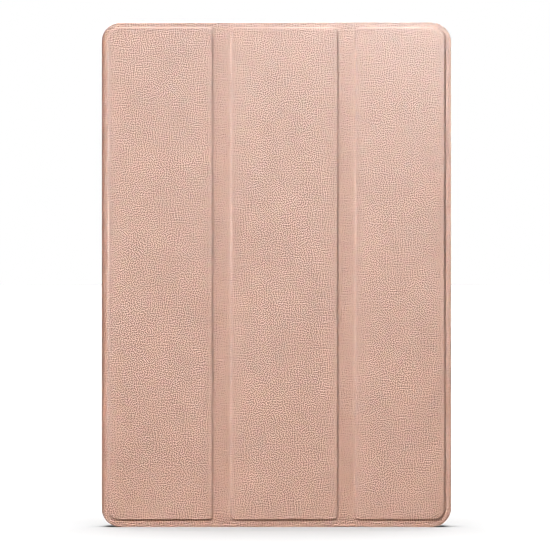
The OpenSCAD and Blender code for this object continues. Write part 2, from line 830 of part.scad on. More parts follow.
module card_tray() {
    wall_x = tab_r - housing_wall;
    color([0.78, 0.78, 0.80]) difference() {
        union() {
            slot_x(card_z, edge_y, card_face, card_face_t, wall_x - 0.3, tab_r);
            block(wall_x - tray_len, wall_x, edge_y - card_frame_t / 2, edge_y + card_frame_t / 2,
                card_z - card_frame_w / 2, card_z + card_frame_w / 2);
        }
        block(wall_x - tray_len + card_inset, wall_x - tray_len + card_inset + 2 * fit + card_size[0],
            edge_y - card_frame_t / 2 - cut, edge_y - card_frame_t / 2 + card_size[2],
            card_z - card_size[1] / 2 - fit, card_z + card_size[1] / 2 + fit);
        // eject hole
        translate([wall_x, edge_y, card_z + eject_z]) rotate([0, 90, 0]) cylinder(r = eject_r, h = 3);
    }
}

module memory_card() {
    x0 = tab_r - housing_wall - tray_len + card_inset + fit;
    color([0.12, 0.12, 0.12]) difference() {
        block(x0, x0 + card_size[0], edge_y - card_frame_t / 2, edge_y - card_frame_t / 2 + card_size[2],
            card_z - card_size[1] / 2, card_z + card_size[1] / 2);
        block(x0 + card_notch[0], x0 + card_notch[1], edge_y - 2, edge_y + 2,
            card_z + card_size[1] / 2 - card_notch[2], card_z + card_size[1]);
    }
}

back_leather();
rear_shell();
rear_housing();
front_glass();
display_panel();
display_adhesive();
mid_plate();
battery(-1);  // battery_left
battery(1);  // battery_right
battery_flex();
main_board();
processor();
memory_chips();
shield_can(processor_can);  // processor_shield
shield_can(radio_can);  // radio_shield
hall_sensor();
display_flex();
port_board();
port_flex();
usb_socket();
usb_tongue();
audio_jack();
speaker(0);  // speaker_top_left
speaker(1);  // speaker_top_right
speaker(2);  // speaker_bottom_left
speaker(3);  // speaker_bottom_right
microphones();
front_camera();
rear_camera();
camera_ring();
camera_lens();
flash_led();
antenna(-1);  // antenna_left
antenna(1);  // antenna_right
tablet_magnets();
key_switches();
card_slot();
plate_screws();
board_screws();
power_button();
volume_rocker();
card_tray();
memory_card();
spine_leather();
spine_board();
spine_lining();
for (i = [0:2]) {
    cover_leather(i);
    cover_board(i);
    cover_lining(i);
}
stand_magnets();
closing_magnets();
wake_magnet();
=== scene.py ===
"""A tablet computer in a closed tri-fold folio, standing on its short edge. Lengths in the code are
millimetres until they reach a mesh; the cover faces -Y and the spine is on the -X side."""

import json
import math

import bmesh
import bpy
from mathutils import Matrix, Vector, noise

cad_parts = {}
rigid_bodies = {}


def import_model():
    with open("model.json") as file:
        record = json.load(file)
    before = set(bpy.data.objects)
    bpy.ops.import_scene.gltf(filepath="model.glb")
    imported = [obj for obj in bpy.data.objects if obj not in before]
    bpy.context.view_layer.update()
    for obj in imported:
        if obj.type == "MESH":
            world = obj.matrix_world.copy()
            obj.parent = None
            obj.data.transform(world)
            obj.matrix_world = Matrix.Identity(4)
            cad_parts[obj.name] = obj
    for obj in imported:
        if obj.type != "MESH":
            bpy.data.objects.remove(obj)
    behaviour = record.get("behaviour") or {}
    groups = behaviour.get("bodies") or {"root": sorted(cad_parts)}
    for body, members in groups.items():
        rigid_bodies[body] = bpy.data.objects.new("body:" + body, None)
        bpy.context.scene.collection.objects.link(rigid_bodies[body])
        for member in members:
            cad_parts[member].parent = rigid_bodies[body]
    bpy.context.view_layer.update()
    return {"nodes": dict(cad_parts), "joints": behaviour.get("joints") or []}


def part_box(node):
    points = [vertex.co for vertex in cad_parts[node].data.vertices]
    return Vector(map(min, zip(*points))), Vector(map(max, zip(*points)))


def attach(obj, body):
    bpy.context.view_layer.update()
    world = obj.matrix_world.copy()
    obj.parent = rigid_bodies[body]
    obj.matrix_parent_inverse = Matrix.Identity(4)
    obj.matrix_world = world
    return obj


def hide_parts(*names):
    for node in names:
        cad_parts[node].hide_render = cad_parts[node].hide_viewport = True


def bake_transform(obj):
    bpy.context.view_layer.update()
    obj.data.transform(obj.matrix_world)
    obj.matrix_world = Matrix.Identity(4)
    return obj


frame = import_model()

MM = 0.001


def cad(node):
    """Lowest and highest corner of a CAD node in millimetres."""
    low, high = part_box(node)
    return [v / MM for v in low], [v / MM for v in high]


# ---------------------------------------------------------------- levels and edges from the frame

X_LEFT = cad("spine_leather")[0][0]
X_RIGHT = cad("cover_leather_3")[1][0]
HEIGHT = cad("cover_leather_1")[1][2]
Y_BACK = cad("back_leather")[1][1]
Y_SHELL = cad("rear_shell")[1][1]
Y_LINING = cad("cover_lining_1")[1][1]
Y_BOARD = cad("cover_board_1")[1][1]
Y_RAISED = cad("cover_board_1")[0][1]
Y_FRONT = cad("cover_leather_1")[0][1]
LEATHER = Y_BACK - Y_SHELL
Y_WEB = Y_BOARD - LEATHER
BACK_RIGHT = cad("back_leather")[1][0]
LINING_X = cad("spine_lining")[0][0] - X_LEFT
LINING_T = cad("spine_lining")[1][0] - cad("spine_lining")[0][0]

CASE_R = 10.0  # corner radius of the folio
BEND_R = 2.6  # outer radius of the leather round the spine's edges
BOARD_INSET = 0.6  # from the raised outline to the board
# corner radii of the raised panels: bottom left, bottom right, top right, top left
PANEL_R = ((6, 3, 2.5, 6), (3, 3, 2.5, 2.5), (2.5, 6, 6, 2.5))
LINING_INSET = 0.6  # from the leather's free edge to the lining's
WEB_KEPT = 0.5  # web beyond each raised edge that stays with its panel
SEAM_FRONT = 2.9  # leather seam on the cover, from the spine's face
SEAM_BACK = 3.4  # leather seam on the back
SEAM_SPINE = 3.4  # leather seams on the spine, from the front web and from the back
SEAM_LINING = 4.2  # lining seam on the spine

raised = []
for number in (1, 2, 3):
    low, high = cad(f"cover_board_{number}")
    raised.append((low[0] - BOARD_INSET, high[0] + BOARD_INSET,
                   low[2] - BOARD_INSET, high[2] + BOARD_INSET))


# ---------------------------------------------------------------- mesh helpers

SHARP = 38.0  # edges that turn by more degrees than this stay sharp
WELD = 0.0008  # points closer than this are one point


def lerp(a, b, t):
    return a + (b - a) * t


def quarter(steps):
    """Angles from 0 to a right angle."""
    return [math.pi / 2 * k / steps for k in range(steps + 1)]


def on_sheet(x, y, z):
    """Where a point of the folio at rest lies on its flat sheet: (along the wrap, height, depth)."""
    across = x - X_LEFT
    front, back = y - Y_WEB, Y_BACK - y
    turn = BEND_R * math.pi / 2
    spine = Y_BACK - Y_WEB - 2 * BEND_R
    if across >= BEND_R:
        along = across if front < back else 2 * BEND_R - 2 * turn - spine - across
    elif front < BEND_R:
        along = BEND_R - BEND_R * math.atan2(BEND_R - across, BEND_R - front)
    elif back < BEND_R:
        along = BEND_R - 2 * turn - spine + BEND_R * math.atan2(BEND_R - across, BEND_R - back)
    else:
        along = BEND_R - turn - (front - BEND_R)
    return along, z, y


def store_sheet(mesh):
    """Stores each point's place on the flat sheet, so that the grain runs on over seams and bends."""
    places = mesh.attributes.get("sheet") or mesh.attributes.new("sheet", "FLOAT_VECTOR", "POINT")
    places.data.foreach_set("vector", [c for v in mesh.vertices for c in on_sheet(*(v.co / MM))])


def make(name, bm, material, body=None, stands_for=()):
    """An object from a bmesh in millimetres, smooth up to the sharp angle."""
    bmesh.ops.remove_doubles(bm, verts=bm.verts, dist=WELD)
    bmesh.ops.recalc_face_normals(bm, faces=bm.faces)
    mesh = bpy.data.meshes.new(name)
    bm.to_mesh(mesh)
    bm.free()
    mesh.transform(((MM, 0, 0, 0), (0, MM, 0, 0), (0, 0, MM, 0), (0, 0, 0, 1)))
    mesh.shade_smooth()
    mesh.set_sharp_from_angle(angle=math.radians(SHARP))
    store_sheet(mesh)
    piece = bpy.data.objects.new(name, mesh)
    bpy.context.scene.collection.objects.link(piece)
    mesh.materials.append(material)
    if body:
        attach(piece, body)
    if stands_for:
        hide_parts(*stands_for)
    return piece


def loft(bm, rings, cap_first=True, cap_last=True):
    """Skins closed rings of points that all have the same count."""
    made = [[bm.verts.new(p) for p in ring] for ring in rings]
    count = len(made[0])
    for a, b in zip(made, made[1:]):
        for k in range(count):
            n = (k + 1) % count
            bm.faces.new((a[k], a[n], b[n], b[k]))
    if cap_first:
        bm.faces.new(made[0])
    if cap_last:
        bm.faces.new(list(reversed(made[-1])))


# ---------------------------------------------------------------- outlines in the XZ plane

CORNER = 12  # segments of a corner, an even number
SIDE_Z = 56  # segments of an upright side
SIDE_X = 14  # segments of a level side


def close_loop(corners):
    """Joins four corner paths (bottom left, bottom right, top right, top left) with divided sides."""
    loop = []
    for k, path in enumerate(corners):
        following = corners[(k + 1) % 4]
        loop += path
        steps = SIDE_X if k % 2 == 0 else SIDE_Z
        a, b = path[-1], following[0]
        loop += [(lerp(a[0], b[0], j / steps), lerp(a[1], b[1], j / steps)) for j in range(1, steps)]
    return loop


def mirrored(path, x, z, right, top):
    """Places a path made for a bottom left corner at any corner, keeping the loop's direction."""
    placed = [(x - u if right else x + u, z - v if top else z + v) for u, v in path]
    return placed[::-1] if right != top else placed


def inset_loop(rect, radii, d):
    """The rectangle with rounded corners, moved inwards by d; it ends as a line along its middle."""
    x0, x1, z0, z1 = rect
    d = min(d, (x1 - x0) / 2)
    corners = []
    for k, (right, top) in enumerate(((False, False), (True, False), (True, True), (False, True))):
        r = max(radii[k] - d, 0)
        path = [(r - r * math.cos(a), r - r * math.sin(a)) for a in quarter(CORNER)]
        corners.append(mirrored(path, x1 - d if right else x0 + d, z1 - d if top else z0 + d, right, top))
    return close_loop(corners)


def web_corner(kind, upright, level, e):
    """Outer corner path of a panel's web, from height `upright` on its side to `level` along its end.
    round: a free corner; cut: a free corner cut off by the spine seam; square: a seam meets the end."""
    half = CORNER // 2
    if kind == "round":
        r = CASE_R - e
        return [(r - r * math.cos(a), r - r * math.sin(a)) for a in quarter(CORNER)]
    if kind == "square":
        down = [(0, upright * (1 - k / half)) for k in range(half + 1)]
        return down + [(level * k / half, 0) for k in range(1, half + 1)]
    r = CASE_R - e
    centre_u = CASE_R - SEAM_FRONT
    first = math.acos(centre_u / r)
    start = r - r * math.sin(first)
    down = [(0, lerp(upright, start, k / half)) for k in range(half + 1)]
    arc = [lerp(first, math.pi / 2, k / half) for k in range(1, half + 1)]
    return down + [(centre_u - r * math.cos(a), r - r * math.sin(a)) for a in arc]


def panel_limits(i):
    """Left and right end of panel i's own leather."""
    left = X_LEFT + SEAM_FRONT if i == 0 else raised[i][0] - WEB_KEPT
    right = X_RIGHT if i == 2 else raised[i][1] + WEB_KEPT
    return left, right


def web_loop(i, e):
    """Outer loop of panel i, its free edges moved inwards by e and its seams where they are."""
    left, right = panel_limits(i)
    x0, x1, z0, z1 = raised[i]
    corners = []
    for k, (is_right, top) in enumerate(((False, False), (True, False), (True, True), (False, True))):
        radius = PANEL_R[i][k]
        kind = "square"
        if i == 0 and not is_right:
            kind = "cut"
        if i == 2 and is_right:
            kind = "round"
        line_x = right if is_right else left
        if kind == "round":
            line_x -= e
        end_z = HEIGHT - e if top else e
        ring_z = (z1 - radius) if top else (z0 + radius)
        ring_x = (x1 - radius) if is_right else (x0 + radius)
        path = web_corner(kind, abs(ring_z - end_z), abs(ring_x - line_x), e)
        corners.append(mirrored(path, line_x, end_z, is_right, top))
    return close_loop(corners)


def outline_z(x, e):
    """Lowest level of the folio's outline moved inwards by e, at a distance x from the spine's face."""
    r = CASE_R - e
    u = CASE_R - x
    if u <= 0:
        return e
    return CASE_R - math.sqrt(max(r * r - u * u, 0.0))


EDGE_KEEP = 0.06  # a narrow ring that keeps the face flat up to its rounded edge


def edge_profile(first, outer=0.3, inner=0.12, thickness=LEATHER):
    """A free edge from the outer face to the inner one: (inset, share of the thickness)."""
    profile = [(first + outer + EDGE_KEEP, 0.0)]
    for a in quarter(4):
        profile.append((first + outer * (1 - math.sin(a)), outer * (1 - math.cos(a)) / thickness))
    for a in quarter(2):
        profile.append((first + inner * (1 - math.cos(a)), 1 - inner * (1 - math.sin(a)) / thickness))
    return profile


LEATHER_EDGE = edge_profile(0.0)
LINING_EDGE = edge_profile(LINING_INSET, outer=0.1, inner=0.06, thickness=Y_LINING - Y_BOARD)
LINING_FLIPPED = [(e, 1 - t) for e, t in LINING_EDGE]  # the same edge, from the leather's side


# ---------------------------------------------------------------- materials

def tree_of(name):
    """A new material, its tree and its shader."""
    material = bpy.data.materials.new(name)
    material.use_nodes = True
    tree = material.node_tree
    return material, tree, tree.nodes["Principled BSDF"]


def setup(shader, **values):
    """Sets sockets of a shader by name, with underscores for spaces."""
    for key, value in values.items():
        socket = shader.inputs[key.replace("_", " ")]
        socket.default_value = (*value, 1.0) if isinstance(value, tuple) and len(value) == 3 else value


class Graph:
    """Short names for the shader nodes used below. Every texture works in millimetres."""

    def __init__(self, tree, attribute=None):
        self.tree = tree
        if attribute:
            self.place = self.add("ShaderNodeAttribute", attribute_name=attribute).outputs["Vector"]
        else:
            place = self.add("ShaderNodeTexCoord").outputs["Object"]
            self.place = self.vector("SCALE", place, scale=1 / MM)

    def add(self, kind, **settings):
        node = self.tree.nodes.new(kind)
        for key, value in settings.items():
            setattr(node, key, value)
        return node

    def put(self, socket, value):
        if isinstance(value, bpy.types.NodeSocket):
            self.tree.links.new(value, socket)
        elif isinstance(value, tuple) and len(value) == 3 and socket.type == "RGBA":
            socket.default_value = (*value, 1.0)
        else:
            socket.default_value = value

    def vector(self, operation, a, b=None, scale=None):
        node = self.add("ShaderNodeVectorMath", operation=operation)
        self.put(node.inputs[0], a)
        if b is not None:
            self.put(node.inputs[1], b)
        if scale is not None:
            self.put(node.inputs["Scale"], scale)
        return node.outputs[0]

    def math(self, operation, a, b=0.0, c=None):
        node = self.add("ShaderNodeMath", operation=operation)
        self.put(node.inputs[0], a)
        self.put(node.inputs[1], b)
        if c is not None:
            self.put(node.inputs[2], c)
        return node.outputs[0]

    def stretch(self, factors):
        return self.vector("MULTIPLY", self.place, factors)

    def noise(self, scale, detail=2.0, roughness=0.5, at=None, colour=False):
        node = self.add("ShaderNodeTexNoise")
        self.put(node.inputs["Vector"], at if at is not None else self.place)
        node.inputs["Scale"].default_value = scale
        node.inputs["Detail"].default_value = detail
        node.inputs["Roughness"].default_value = roughness
        return node.outputs["Color" if colour else "Fac"]

    def warped(self, scale, amount, at=None):
        """The place, pushed about by a noise."""
        at = at if at is not None else self.place
        push = self.vector("SUBTRACT", self.noise(scale, 1.0, at=at, colour=True), (0.5, 0.5, 0.5))
        return self.vector("ADD", at, self.vector("SCALE", push, scale=amount))

    def cells(self, scale, at, feature="DISTANCE_TO_EDGE"):
        node = self.add("ShaderNodeTexVoronoi", feature=feature, voronoi_dimensions="2D")
        self.put(node.inputs["Vector"], at)
        node.inputs["Scale"].default_value = scale
        return node.outputs["Distance"]

    def ramp(self, value, low, high, to_low=0.0, to_high=1.0, smooth=True):
        node = self.add("ShaderNodeMapRange", interpolation_type="SMOOTHSTEP" if smooth else "LINEAR")
        for socket, v in zip(node.inputs, (value, low, high, to_low, to_high)):
            self.put(socket, v)
        return node.outputs[0]

    def mix(self, factor, a, b):
        node = self.add("ShaderNodeMix", data_type="RGBA")
        self.put(node.inputs["Factor"], factor)
        self.put(node.inputs[6], a)
        self.put(node.inputs[7], b)
        return node.outputs[2]

    def bump(self, height, depth, shader):
        """Raises the surface by up to depth, in millimetres."""
        node = self.add("ShaderNodeBump")
        node.inputs["Strength"].default_value = 1.0
        node.inputs["Distance"].default_value = depth * MM
        self.put(node.inputs["Height"], height)
        self.put(shader.inputs["Normal"], node.outputs["Normal"])


PEBBLE = 1.25  # pebbles per millimetre
PEBBLE_WARP = (0.35, 1.6)  # scale and reach, in millimetres, of the unevenness in their rows
DOME = (0.05, 0.75)  # share of a pebble's width over which its top falls off
GROOVE = (0.0, 0.2)  # share of its width, from its border, that the groove takes
PORES = 2.6  # pores per millimetre
DOME_SHARE = 0.65  # shares of the pebble, its groove and the pores in the surface's height
GROOVE_SHARE = 0.2
PORE_SHARE = 0.2
CREASES = 0.26  # creases per millimetre, before they are stretched
CREASE_WARP = (0.2, 5.0)
CREASE_LINE = (0.0, 0.16)  # from a crease's middle to its side
CREASE_STRETCH = {"upright": (1.0, 0.2, 1.0), "level": (0.3, 1.0, 1.0)}
# where creases turn upright: from one height to another, and from one distance from the spine to another
UPRIGHT_FROM = ((150.0, 235.0), (95.0, 50.0))
LEATHER_CREASE = 0.05  # share of the creases in the surface's height
SPECK = (0.35, 0.65, -0.5, 0.6)  # noise range, and the shade that it is turned into
HUE_RANGE = (0.38, 0.62)
LEATHER_TOP = ((0.97, 0.43, 0.285), (0.99, 0.515, 0.285))  # pink and golden pebbles
# colour of grooves, pores and creases: partly the leather's own darker tone, partly painted shade in these
# recesses
LEATHER_GROOVE_AND_SHADE = (0.1, 0.03, 0.018)
# colour of the painted shade along the front bend round the spine
LEATHER_PAINTED_SHADE = (0.2, 0.11, 0.085)
LEATHER_ROUGH = (0.6, 0.33)  # in the grooves and on top
LEATHER_DEPTH = 0.34  # what a full step of the surface's height stands for
SPINE_MIDDLE = BEND_R * (1 - math.pi / 2) - (Y_BACK - Y_WEB - 2 * BEND_R) / 2  # on the flat sheet
PAINTED_SHADE_AT = -1.0  # the line of painted shade on the flat sheet, in the front bend
PAINTED_SHADE_WIDTH = (0.5, 4.0)  # full painted shade, and no more painted shade, from that line
PAINTED_SHADE = 0.5  # share of the painted shade's colour on that line


def leather_material():
    """Rose-gold pearl synthetic leather: pebbles about a millimetre wide, fine pores and long creases."""
    material, tree, shader = tree_of("leather")
    g = Graph(tree, "sheet")
    along = g.add("ShaderNodeSeparateXYZ")
    g.put(along.inputs[0], g.place)
    bent = g.warped(*PEBBLE_WARP)
    dome = g.ramp(g.cells(PEBBLE, bent, "F1"), *DOME, 1.0, 0.0)
    groove = g.ramp(g.cells(PEBBLE, bent), *GROOVE)
    pores = g.noise(PORES, 1.0)
    # long creases: upright near the spine's top corner, level and slanting elsewhere
    lines = {}
    for way, factors in CREASE_STRETCH.items():
        place = g.warped(*CREASE_WARP, g.stretch(factors))
        lines[way] = g.ramp(g.cells(CREASES, place), *CREASE_LINE)
    toward_top = g.math("MULTIPLY", g.ramp(along.outputs["Y"], *UPRIGHT_FROM[0]),
                        g.ramp(along.outputs["X"], *UPRIGHT_FROM[1]))
    patches = g.ramp(g.noise(0.045, 2.0), 0.42, 0.62)
    crease = g.math("SUBTRACT", 1.0, g.math("ADD", g.math("MULTIPLY", lines["upright"], toward_top),
                    g.math("MULTIPLY", lines["level"], g.math("SUBTRACT", 1.0, toward_top))))
    crease = g.math("MULTIPLY", crease, g.math("MULTIPLY_ADD", patches, 0.7, 0.3))
    height = g.math("MULTIPLY_ADD", dome, DOME_SHARE, g.math("MULTIPLY", groove, GROOVE_SHARE))
    height = g.math("MULTIPLY_ADD", pores, PORE_SHARE, height)
    height = g.math("MULTIPLY_ADD", crease, -LEATHER_CREASE, height)
    speck = g.noise(PEBBLE * 1.5, 0.0)
    # the lower the surface, the nearer its colour to the groove colour: painted shade in grooves, pores
    # and creases
    shade = g.math("MULTIPLY_ADD", g.ramp(height, 0.2, 0.9, smooth=False), 0.65, g.ramp(speck, *SPECK))
    hue = g.ramp(g.noise(PEBBLE * 0.8, 0.0), *HUE_RANGE)
    top = g.mix(hue, LEATHER_TOP[0], LEATHER_TOP[1])
    # painted shade where the sheet turns round the spine's edge: the front bend is darkened as if less
    # light reached it
    from_middle = g.math("ABSOLUTE", g.math("SUBTRACT", along.outputs["X"], SPINE_MIDDLE))
    from_edge = g.math("ABSOLUTE", g.math("SUBTRACT", from_middle, PAINTED_SHADE_AT - SPINE_MIDDLE))
    painted_shade = g.ramp(from_edge, *PAINTED_SHADE_WIDTH, PAINTED_SHADE, 0.0)
    colour = g.mix(painted_shade, g.mix(shade, LEATHER_GROOVE_AND_SHADE, top), LEATHER_PAINTED_SHADE)
    g.put(shader.inputs["Base Color"], colour)
    g.put(shader.inputs["Roughness"], g.ramp(height, 0.2, 0.95, *LEATHER_ROUGH, smooth=False))
    setup(shader, Specular_IOR_Level=0.6, Coat_Weight=0.3, Coat_Roughness=0.35)
    g.bump(height, LEATHER_DEPTH, shader)
    return material


def lining_material():
    """Short-pile microfibre with brushed streaks."""
    material, tree, shader = tree_of("lining")
    g = Graph(tree, "sheet")
    pile = g.noise(3.2, 2.0, 0.6)
    streak = g.noise(0.8, 4.0, 0.7, g.warped(0.2, 2.0, g.stretch((1.0, 0.3, 1.0))))
    brushed = g.noise(0.02, 2.0)
    nap = g.math("ADD", g.math("MULTIPLY", streak, 0.6), g.math("MULTIPLY", brushed, 0.4))
    colour = g.mix(g.math("MULTIPLY_ADD", pile, 0.5, g.math("MULTIPLY", g.ramp(nap, 0.3, 0.7), 0.5)),
                   (0.36, 0.275, 0.24), (0.52, 0.415, 0.365))
    g.put(shader.inputs["Base Color"], colour)
    setup(shader, Roughness=0.95, Specular_IOR_Level=0.2, Sheen_Weight=0.45, Sheen_Roughness=0.5)
    g.bump(pile, 0.12, shader)
    return material


def plain_material(name, low, high, rough, metallic=0.0, grain=2.0, depth=0.01, stretch=(1, 1, 1),
                   rough_spread=0.08, specular=0.5, coat=0.0):
    """A solid material whose colour, gloss and surface vary with one fine noise and one broad noise."""
    material, tree, shader = tree_of(name)
    g = Graph(tree)
    fine = g.noise(grain, 3.0, 0.6, g.stretch(stretch))
    broad = g.noise(0.06, 2.0)
    blend = g.math("MULTIPLY_ADD", fine, 0.6, g.math("MULTIPLY", broad, 0.4))
    g.put(shader.inputs["Base Color"], g.mix(g.ramp(blend, 0.3, 0.7), low, high))
    g.put(shader.inputs["Roughness"], g.ramp(fine, 0.3, 0.7, rough - rough_spread, rough + rough_spread))
    setup(shader, Metallic=metallic, Specular_IOR_Level=specular, Coat_Weight=coat, Coat_Roughness=0.08)
    g.bump(fine, depth, shader)
    return material


leather = leather_material()
lining = lining_material()


# ---------------------------------------------------------------- cover panels

BEVEL_FROM = EDGE_KEEP - WEB_KEPT  # foot and top of the embossed edge, from the raised outline
BEVEL_TO = 0.8
BEVEL_STEPS = 9
FACE_STEP = 4  # between the rings of a raised face
FACE_MIDDLE = 0.6  # from a raised face's middle line to the first ring
FACE_RIM = (2.6, 1.6, 1.1)  # its last rings, from its edge
SOFT_FROM, SOFT_TO = 1.0, 6.0  # the unevenness starts and is complete, from the face's edge
SOFT_DEPTH = 0.045
SOFT_WAVES = ((0.022, 3.7, 0.017, 1.0), (0.06, 9.1, 0.05, 0.5))  # scale in X, seed, scale in Z, weight


def bevel_level(share):
    """Height of the embossed edge: 0 on the web, 1 on the raised face, steep in the middle."""
    return share * share * (3 - 2 * share)


def softness(x, z, inside):
    """Slight unevenness of the raised face, none near its edge."""
    wave = sum(weight * noise.noise(Vector((x * u, seed, z * v))) for u, seed, v, weight in SOFT_WAVES)
    share = (inside - SOFT_FROM) / (SOFT_TO - SOFT_FROM)
    return SOFT_DEPTH * wave * min(1.0, max(0.0, share))


def leather_panel(i):
    """The cover's leather on panel i: a raised face, its embossed edge, the web and the board's pocket."""
    rect = raised[i]
    radii = PANEL_R[i]
    half = (rect[1] - rect[0]) / 2
    even = [half - FACE_STEP * k for k in range(1, int(half / FACE_STEP))]
    insets = [half, half - FACE_MIDDLE, *even, *FACE_RIM]
    insets = sorted({d for d in insets if d > SOFT_FROM}, reverse=True)
    rings = []
    for d in insets:
        rings.append([(x, Y_FRONT + softness(x, z, d), z) for x, z in inset_loop(rect, radii, d)])
    rings.append([(x, Y_FRONT, z) for x, z in inset_loop(rect, radii, BEVEL_TO + EDGE_KEEP)])
    for k in range(BEVEL_STEPS + 1):
        share = 1 - k / BEVEL_STEPS
        d = lerp(BEVEL_FROM, BEVEL_TO, share)
        y = lerp(Y_WEB, Y_FRONT, bevel_level(share))
        rings.append([(x, y, z) for x, z in inset_loop(rect, radii, d)])
    rings.append([(x, Y_WEB, z) for x, z in inset_loop(rect, radii, -WEB_KEPT)])
    for e, t in LEATHER_EDGE:
        rings.append([(x, lerp(Y_WEB, Y_BOARD, t), z) for x, z in web_loop(i, e)])
    pocket = inset_loop(rect, radii, BOARD_INSET)
    rings.append([(x, Y_BOARD, z) for x, z in pocket])
    rings.append([(x, Y_RAISED, z) for x, z in pocket])
    bm = bmesh.new()
    loft(bm, rings, cap_first=False)
    make(f"leather_panel_{i + 1}", bm, leather, f"panel_{i + 1}",
         (f"cover_leather_{i + 1}",))


for i in range(3):
    leather_panel(i)


CORNER_SPAN = 12  # level stretch in which the outline's corner curves
CORNER_STEPS = 24


def lining_loop(i, e):
    """Outer loop of the lining on panel i; it starts a little further from the spine than the leather."""
    left = X_LEFT + SEAM_BACK if i == 0 else panel_limits(i)[0]
    right = panel_limits(i)[1] - (e if i == 2 else 0)
    low_edge = []
    for k in range(CORNER_STEPS + 1):
        x = lerp(left, min(left + CORNER_SPAN, right), k / CORNER_STEPS)
        low_edge.append((x, outline_z(x - X_LEFT, e)))
    if i == 2:
        r = CASE_R - e
        for a in quarter(CORNER):
            low_edge.append((X_RIGHT - CASE_R + r * math.sin(a), CASE_R - r * math.cos(a)))
    else:
        low_edge.append((right, e))
    return low_edge + [(x, HEIGHT - z) for x, z in reversed(low_edge)]


def lining_panel(i):
    """The lining on the inside of panel i."""
    rings = [[(x, lerp(Y_BOARD, Y_LINING, t), z) for x, z in lining_loop(i, e)] for e, t in LINING_FLIPPED]
    bm = bmesh.new()
    loft(bm, rings)
    make(f"lining_{i + 1}", bm, lining, f"panel_{i + 1}", (f"cover_lining_{i + 1}",))


for i in range(3):
    lining_panel(i)


# ---------------------------------------------------------------- strips that bend, and the spine

def slab(name, path, edge, material, between=None, body=None, stands_for=()):
    """A strip along Z, swept along path, a list of (outer, inner) points, up to the folio's outline."""
    rings = []
    for outer, inner in path:
        low_end = []
        for e, t in edge:
            x = lerp(outer[0], inner[0], t)
            low_end.append((x, lerp(outer[1], inner[1], t), outline_z(x - X_LEFT, e)))
        rings.append(low_end + [(x, y, HEIGHT - z) for x, y, z in reversed(low_end)])
    bm = bmesh.new()
    loft(bm, rings)
    piece = make(name, bm, material, body, stands_for)
    if between:
        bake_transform(piece)


def crease_path(i, outer_y, inner_y):
    """From panel i's right seam to the next panel's left one."""
    start, end = panel_limits(i)[1], panel_limits(i + 1)[0]
    xs = [lerp(start, end, k / FOLD_STEPS) for k in range(FOLD_STEPS + 1)]
    return [((x, outer_y), (x, inner_y)) for x in xs]


FOLD_STEPS = 44

for i in (0, 1):
    middle = [j for j in frame["joints"] if j["name"] == f"fold_{i + 2}"][0]["pos_m"][0] / MM
    pair = (f"panel_{i + 1}", f"panel_{i + 2}")
    slab(f"leather_crease_{i + 2}", crease_path(i, Y_WEB, Y_BOARD), LEATHER_EDGE, leather,
         pair)
    slab(f"lining_crease_{i + 2}", crease_path(i, Y_BOARD, Y_LINING), LINING_FLIPPED, lining,
         pair)


BEND_STEPS = 24


def bend_path(from_y, sign, seam_x):
    """Leather round an edge of the spine: from_y is the flat face it joins, sign leads to the spine."""
    path = []
    for y in (SEAM_SPINE, lerp(SEAM_SPINE, BEND_R, 0.5)):
        path.append(((0, y), (LEATHER, y)))
    for a in quarter(BEND_STEPS):
        points = []
        for r in (BEND_R, BEND_R - LEATHER):
            points.append((BEND_R - r * math.cos(a), BEND_R - r * math.sin(a)))
        path.append(tuple(points))
    for x in (lerp(BEND_R, seam_x, 0.5), seam_x):
        path.append(((x, 0), (x, LEATHER)))
    return [tuple((X_LEFT + x, from_y + sign * y) for x, y in pair) for pair in path]


LINING_TURN = 3.4  # the lining starts to turn here, from the flat face
LINING_KNEE = ((-0.05, 3.1), (0.17, 3.15))  # its outer and inner point just after that, from its face
LINING_BEND_R = (1.45, 1.77)  # its outer radius as the bend starts, and from the bend's middle on
LINING_BEND_T = 0.22
LINING_BEND_STEPS = 16
LINING_BEND_FIRST = 3  # the first step of the bend, after the knee


def lining_bend_path(from_y, sign, end):
    """Lining inside that bend, from the spine's lining to `end`, a list of (outer, inner) points."""
    path = [((LINING_X, y), (LINING_X + LINING_T, y)) for y in (SEAM_LINING, LINING_TURN)]
    path.append(tuple((LINING_X + x, y) for x, y in LINING_KNEE))
    for k in range(LINING_BEND_FIRST, LINING_BEND_STEPS + 1):
        a = math.pi / 2 * k / LINING_BEND_STEPS
        outer = lerp(*LINING_BEND_R, min(1.0, 2 * k / LINING_BEND_STEPS))
        points = []
        for r in (outer, outer - LINING_BEND_T):
            points.append((BEND_R - r * math.cos(a), BEND_R - r * math.sin(a)))
        path.append(tuple(points))
    path += end
    return [tuple((X_LEFT + x, from_y + sign * y) for x, y in pair) for pair in path]


slab("leather_bend_front", bend_path(Y_WEB, 1, SEAM_FRONT), LEATHER_EDGE, leather,
     ("spine", "panel_1"))
slab("leather_bend_back", bend_path(Y_BACK, -1, SEAM_BACK), LEATHER_EDGE, leather,
     ("spine", "root"))
front_end = []
for x, thickness in ((3.0, 0.3), (SEAM_BACK, Y_LINING - Y_BOARD)):  # up to the cover's lining
    front_end.append(((x, LEATHER), (x, LEATHER + thickness)))
slab("lining_bend_front", lining_bend_path(Y_WEB, 1, front_end), LINING_FLIPPED, lining,
     ("spine", "panel_1"))
slab("lining_bend_back", lining_bend_path(Y_BACK, -1, []), LINING_FLIPPED, lining,
     ("spine", "root"))


def spine_path(x, thickness, seam):
    """A flat strip on the spine, between its two seams."""
    levels = [lerp(Y_WEB + seam, Y_BACK - seam, k / 4) for k in range(5)]
    return [((x, y), (x + thickness, y)) for y in levels]


slab("leather_spine", spine_path(X_LEFT, LEATHER, SEAM_SPINE), LEATHER_EDGE, leather,
     body="spine", stands_for=("spine_leather",))
slab("lining_spine", spine_path(X_LEFT + LINING_X, LINING_T, SEAM_LINING), LINING_FLIPPED, lining,
     body="spine", stands_for=("spine_lining",))


# ---------------------------------------------------------------- leather on the back

BACK_LEFT_STEPS = 24
BACK_RIGHT_STEPS = 16


